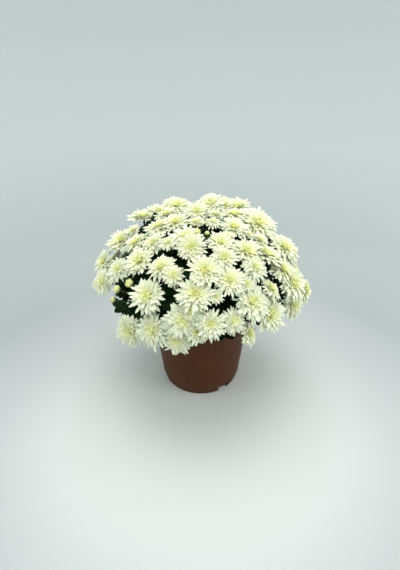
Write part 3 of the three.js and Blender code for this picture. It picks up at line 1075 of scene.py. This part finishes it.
def leaf_paint():
    paint = Paint("leaf", Specular_IOR_Level=0.06)
    cross, along = paint.grain()
    off = paint.times(paint.math("ABSOLUTE", paint.math("SUBTRACT", cross, 0.5)), 2)
    midrib = paint.span(off, 0.0, 0.09, 1, 0)
    spaced = paint.times(along, 6.8)
    sweep = paint.math("SUBTRACT", spaced, paint.times(off, 0.9))
    side = paint.math("ABSOLUTE", paint.math("SUBTRACT", paint.math("FRACT", sweep), 0.5))
    laterals = paint.span(side, 0.0, 0.10, 0.8, 0)
    veins = paint.math("MAXIMUM", midrib, laterals)
    blotch = paint.noise(120, 4)
    green = paint.ramp(blotch, [(0.3, (0.004, 0.013, 0.004)), (0.7, (0.009, 0.026, 0.007))])
    tint = paint.mix(paint.span(paint.value("shade"), 0, 1, 0, 0.45), green, (0.014, 0.036, 0.010))
    veined = paint.mix(paint.times(veins, 0.45), tint, (0.060, 0.105, 0.042))
    colour = paint.mix(paint.value("under"), veined, (0.026, 0.046, 0.022))
    lumps = paint.bump(paint.noise(420, 2), 0.3, 0.0004)
    normal = paint.bump(veins, -0.6, 0.0005, lumps)
    return paint.done(colour, normal, paint.span(blotch, 0.3, 0.7, 0.48, 0.62))


def stalk_paint():
    paint = Paint("stalk", Specular_IOR_Level=0.35)
    cross, along = paint.grain()
    drawn = paint.add("CombineXYZ", {"X": paint.times(cross, 3),
                                     "Y": paint.times(along, 0.7)}).outputs[0]
    streak = paint.noise(9, 3, drawn)
    old_to_young = paint.ramp(paint.value("young"), [
        (0.0, (0.070, 0.045, 0.024)),
        (0.25, (0.040, 0.050, 0.020)),
        (0.6, (0.045, 0.085, 0.024)),
        (1.0, (0.090, 0.150, 0.040)),
    ])
    darker = paint.span(streak, 0.35, 0.65, 0.0, 0.4)
    colour = paint.mix(darker, old_to_young, (0.035, 0.050, 0.018))
    ridges = paint.math("SINE", paint.times(cross, 2 * math.pi * 6))
    normal = paint.bump(ridges, 0.4, 0.0003)
    return paint.done(colour, normal, paint.span(streak, 0.3, 0.7, 0.5, 0.7))


def pot_paint():
    paint = Paint("pot_plastic", Specular_IOR_Level=0.18)
    where = paint.add("TexCoord").outputs["Object"]
    cloud = paint.noise(28, 4, where, 0.6)
    brown = paint.ramp(cloud, [(0.3, (0.070, 0.021, 0.0055)), (0.7, (0.088, 0.026, 0.0075))])
    height = paint.add("SeparateXYZ", {"Vector": where}).outputs["Z"]
    low_down = paint.span(height, 0.0, 0.03, 0.5, 0.0)
    dusty = paint.times(low_down, paint.noise(160, 5, where))
    brown = paint.mix(dusty, brown, (0.12, 0.070, 0.045))
    drawn = paint.add("Mapping", {"Vector": where, "Scale": (1, 1, 0.06)}).outputs[0]
    streaks = paint.noise(420, 3, drawn)
    rubbed = paint.span(streaks, 0.55, 0.8, 0, 0.3)
    colour = paint.mix(rubbed, brown, (0.10, 0.048, 0.026))
    scuffs = paint.noise(1500, 2, where)
    normal = paint.bump(scuffs, 0.12, 0.0002, paint.bump(cloud, 0.08, 0.002))
    return paint.done(colour, normal, paint.span(streaks, 0.3, 0.75, 0.5, 0.64))


def peat_paint():
    paint = Paint("peat", Specular_IOR_Level=0.2)
    where = paint.add("TexCoord").outputs["Object"]
    crumbs = paint.add("TexVoronoi", {"Vector": where, "Scale": 600.0}).outputs["Distance"]
    fibres = paint.noise(900, 4, where)
    colour = paint.ramp(fibres, [(0.35, (0.010, 0.006, 0.004)), (0.55, (0.035, 0.021, 0.012)),
                                 (0.75, (0.110, 0.066, 0.036))])
    normal = paint.bump(crumbs, 0.8, 0.0012, paint.bump(fibres, 0.5, 0.0006))
    return paint.done(colour, normal, paint.span(fibres, 0.3, 0.7, 0.8, 1.0))


# ------------ the plant

LEAF_SEED = 7
HEAD_SEED = 100
BUD_SEED = 23
# How far a stalk runs up into a head and how far it ends under a bud, as shares of their size.
STALK_IN_HEAD = 0.06
STALK_UNDER_BUD = 0.4


class Cutting:
    """The meshes of one rooted cutting, while they are being gathered."""

    def __init__(self):
        self.stems = Shell()
        self.leaves = Shell()
        self.calyxes = Shell()


def add_shown_leaves(cuttings, rng):
    for root, tip, width in SHOWN_LEAVES:
        k = stem_for(root[0])
        start, end = point_at(*root), point_at(*tip)
        growth = end - start
        fork = fork_below(k, root[2] - 8)
        reach = np.linalg.norm(start - fork)
        bends = (fork, fork + UP * 0.3 * reach, start - growth * 0.3, start + growth * 0.1)
        add_stalk(cuttings[k].stems, bezier(bends, 9), LEAF_STALK)
        upper = unit(UP * 0.8 + outwards(tip[0]))
        length = np.linalg.norm(growth)
        add_leaf(cuttings[k].leaves, start, growth, upper, length, width * MM, rng)


def build_head(head, serial, cutting, paint, leaf_rng):
    """A flower head with its stalk, the leaves on the stalk and its calyx."""
    end = head.seat + head.face * head.spread * STALK_IN_HEAD
    path = stalk_path(head.stem, end, head.face)
    add_stalk(cutting.stems, path, HEAD_STALK)
    add_leaves_on(cutting.leaves, path, serial, leaf_rng)
    add_calyx(cutting.calyxes, head)
    shell = Shell()
    add_petals(shell, head, np.random.default_rng(HEAD_SEED + serial))
    piece = shell.build(f"petals_{head.name}", paint, "petals")
    if head.node:
        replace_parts(piece, head.node)


def build_buds(cuttings, paint):
    buds = Shell()
    rng = np.random.default_rng(BUD_SEED)
    for bearing, rise, size in BUDS:
        k = stem_for(bearing)
        face = facing(bearing, rise)
        end = dome_point(bearing, rise) - face * size * STALK_UNDER_BUD * MM
        add_stalk(cuttings[k].stems, stalk_path(k, end, face), BUD_STALK)
        add_bud(buds, cuttings[k].calyxes, bearing, rise, size, rng)
    buds.build("bud_tips", paint, "petals")


def build_plant():
    petal, leaf, stalk = petal_paint(), leaf_paint(), stalk_paint()
    heads = open_heads() + side_heads() + back_heads()
    cuttings = [Cutting() for _ in range(STEM["count"])]
    leaf_rng = np.random.default_rng(LEAF_SEED)
    for k, cutting in enumerate(cuttings):
        add_main_stem(cutting.stems, k)
        add_skirt_leaves(cutting.leaves, k, leaf_rng)
    add_shown_leaves(cuttings, leaf_rng)
    for serial, head in enumerate(heads):
        build_head(head, serial, cuttings[head.stem], petal, leaf_rng)
    build_buds(cuttings, petal)
    for k, cutting in enumerate(cuttings):
        name = f"cutting_{k + 1}"
        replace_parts(cutting.stems.build(f"{name}_stems", stalk, "greenery"), name)
        cutting.calyxes.build(f"{name}_calyxes", stalk, "greenery")
        cutting.leaves.build(f"{name}_leaves", leaf, "greenery")


# ------------ camera, stage and light

FOCAL_PIXELS = 400
FRAME_LONG_SIDE = 570
SENSOR = 36
CAMERA_PLACE = (-1.3, -403.3, 382.4)
CAMERA_PITCH = 31.9

# The floor, in metres: flat out to a radius, then a curve up to a wall.
FLOOR = dict(flat=1.2, curve=0.9, height=2.4, sides=96, curve_steps=8)
# Its colours are painted light and shade: a pool of painted light round the pot, a darker ring of
# painted shade beyond it, and paler again out to the wall, by the distance from a point in front of
# the pot as a share of a reach.
PAINTED_POOL_MIDDLE = (0, -0.08, 0)
FLOOR_REACH = 1.5
FLOOR_PAINTED_LIGHT = (
    (0.07, (0.68, 0.70, 0.68)),
    (0.11, (0.63, 0.66, 0.65)),
    (0.15, (0.53, 0.56, 0.555)),
    (0.22, (0.42, 0.455, 0.455)),
    (0.40, (0.44, 0.48, 0.485)),
    (0.90, (0.66, 0.70, 0.70)),
)

SKY_COLOUR = (0.94, 0.98, 0.99, 1)
SKY_STRENGTH = 1.03
# Round soft lights: place, target and width in metres, power in watts, and colour.
LIGHTS = {
    "key": ((0.0, 0.1, 1.2), (0, 0, 0.1), 0.9, 5.8, (1.0, 0.99, 0.95)),
    "left": ((-1.4, -0.5, 1.05), (0, 0, 0.13), 1.1, 5.6, (1.0, 0.99, 0.96)),
    "right": ((1.4, -0.5, 1.05), (0, 0, 0.13), 1.1, 9.5, (1.0, 0.99, 0.96)),
}


def add_camera():
    data = bpy.data.cameras.new("camera")
    data.sensor_width = SENSOR
    data.lens = SENSOR * FOCAL_PIXELS / FRAME_LONG_SIDE
    camera = add_object("camera", data)
    camera.location = [c * MM for c in CAMERA_PLACE]
    camera.rotation_euler = (math.radians(90 - CAMERA_PITCH), 0, 0)
    bpy.context.scene.camera = camera


# The floor's colour is painted light: a bright pool round the pot and a ring of painted shade
# beyond it.
def floor_painted_light_paint():
    paint = Paint("floor", Roughness=0.85, Specular_IOR_Level=0.1)
    where = paint.add("TexCoord").outputs["Object"]
    shift = tuple(-c for c in PAINTED_POOL_MIDDLE)
    shifted = paint.add("VectorMath", {0: where, 1: shift}, operation="ADD").outputs["Vector"]
    away = paint.add("VectorMath", {0: shifted}, operation="LENGTH").outputs["Value"]
    share = paint.span(away, 0, FLOOR_REACH, 0, 1)
    paint.feed(paint.shader.inputs["Base Color"], paint.ramp(share, FLOOR_PAINTED_LIGHT))
    return paint.material


def add_stage():
    """A pale floor that curves up into a wall all round."""
    flat, curve, sides = FLOOR["flat"], FLOOR["curve"], FLOOR["sides"]
    outline = [(0.001, 0.0), (0.5, 0.0), (flat, 0.0)]
    for t in np.linspace(0, math.pi / 2, FLOOR["curve_steps"] + 1)[1:]:
        outline.append((flat + curve * math.sin(t), curve - curve * math.cos(t)))
    outline.append((flat + curve, FLOOR["height"]))
    rings = turned_points(np.array(outline), sides)
    faces = ring_faces(len(outline), sides)
    mesh = bpy.data.meshes.new("floor")
    mesh.from_pydata(rings, [], faces.tolist())
    mesh.polygons.foreach_set("use_smooth", np.ones(len(mesh.polygons), bool))
    mesh.materials.append(floor_painted_light_paint())
    floor = add_object("floor", mesh)


def add_light():
    world = bpy.data.worlds.new("studio")
    world.use_nodes = True
    sky = world.node_tree.nodes["Background"]
    sky.inputs["Color"].default_value = SKY_COLOUR
    sky.inputs["Strength"].default_value = SKY_STRENGTH
    bpy.context.scene.world = world
    for name, (place, target, size, power, colour) in LIGHTS.items():
        data = bpy.data.lights.new(name, "AREA")
        data.shape = "DISK"
        data.size = size
        data.energy = power
        data.color = colour
        light = add_object(name, data)
        light.location = place
        light.rotation_euler = (Vector(place) - Vector(target)).to_track_quat("Z", "Y").to_euler()
    bpy.context.scene.view_settings.view_transform = "Standard"


add_camera()
add_stage()
add_light()
build_pot(pot_paint())
build_potting_mix(peat_paint())
build_plant()
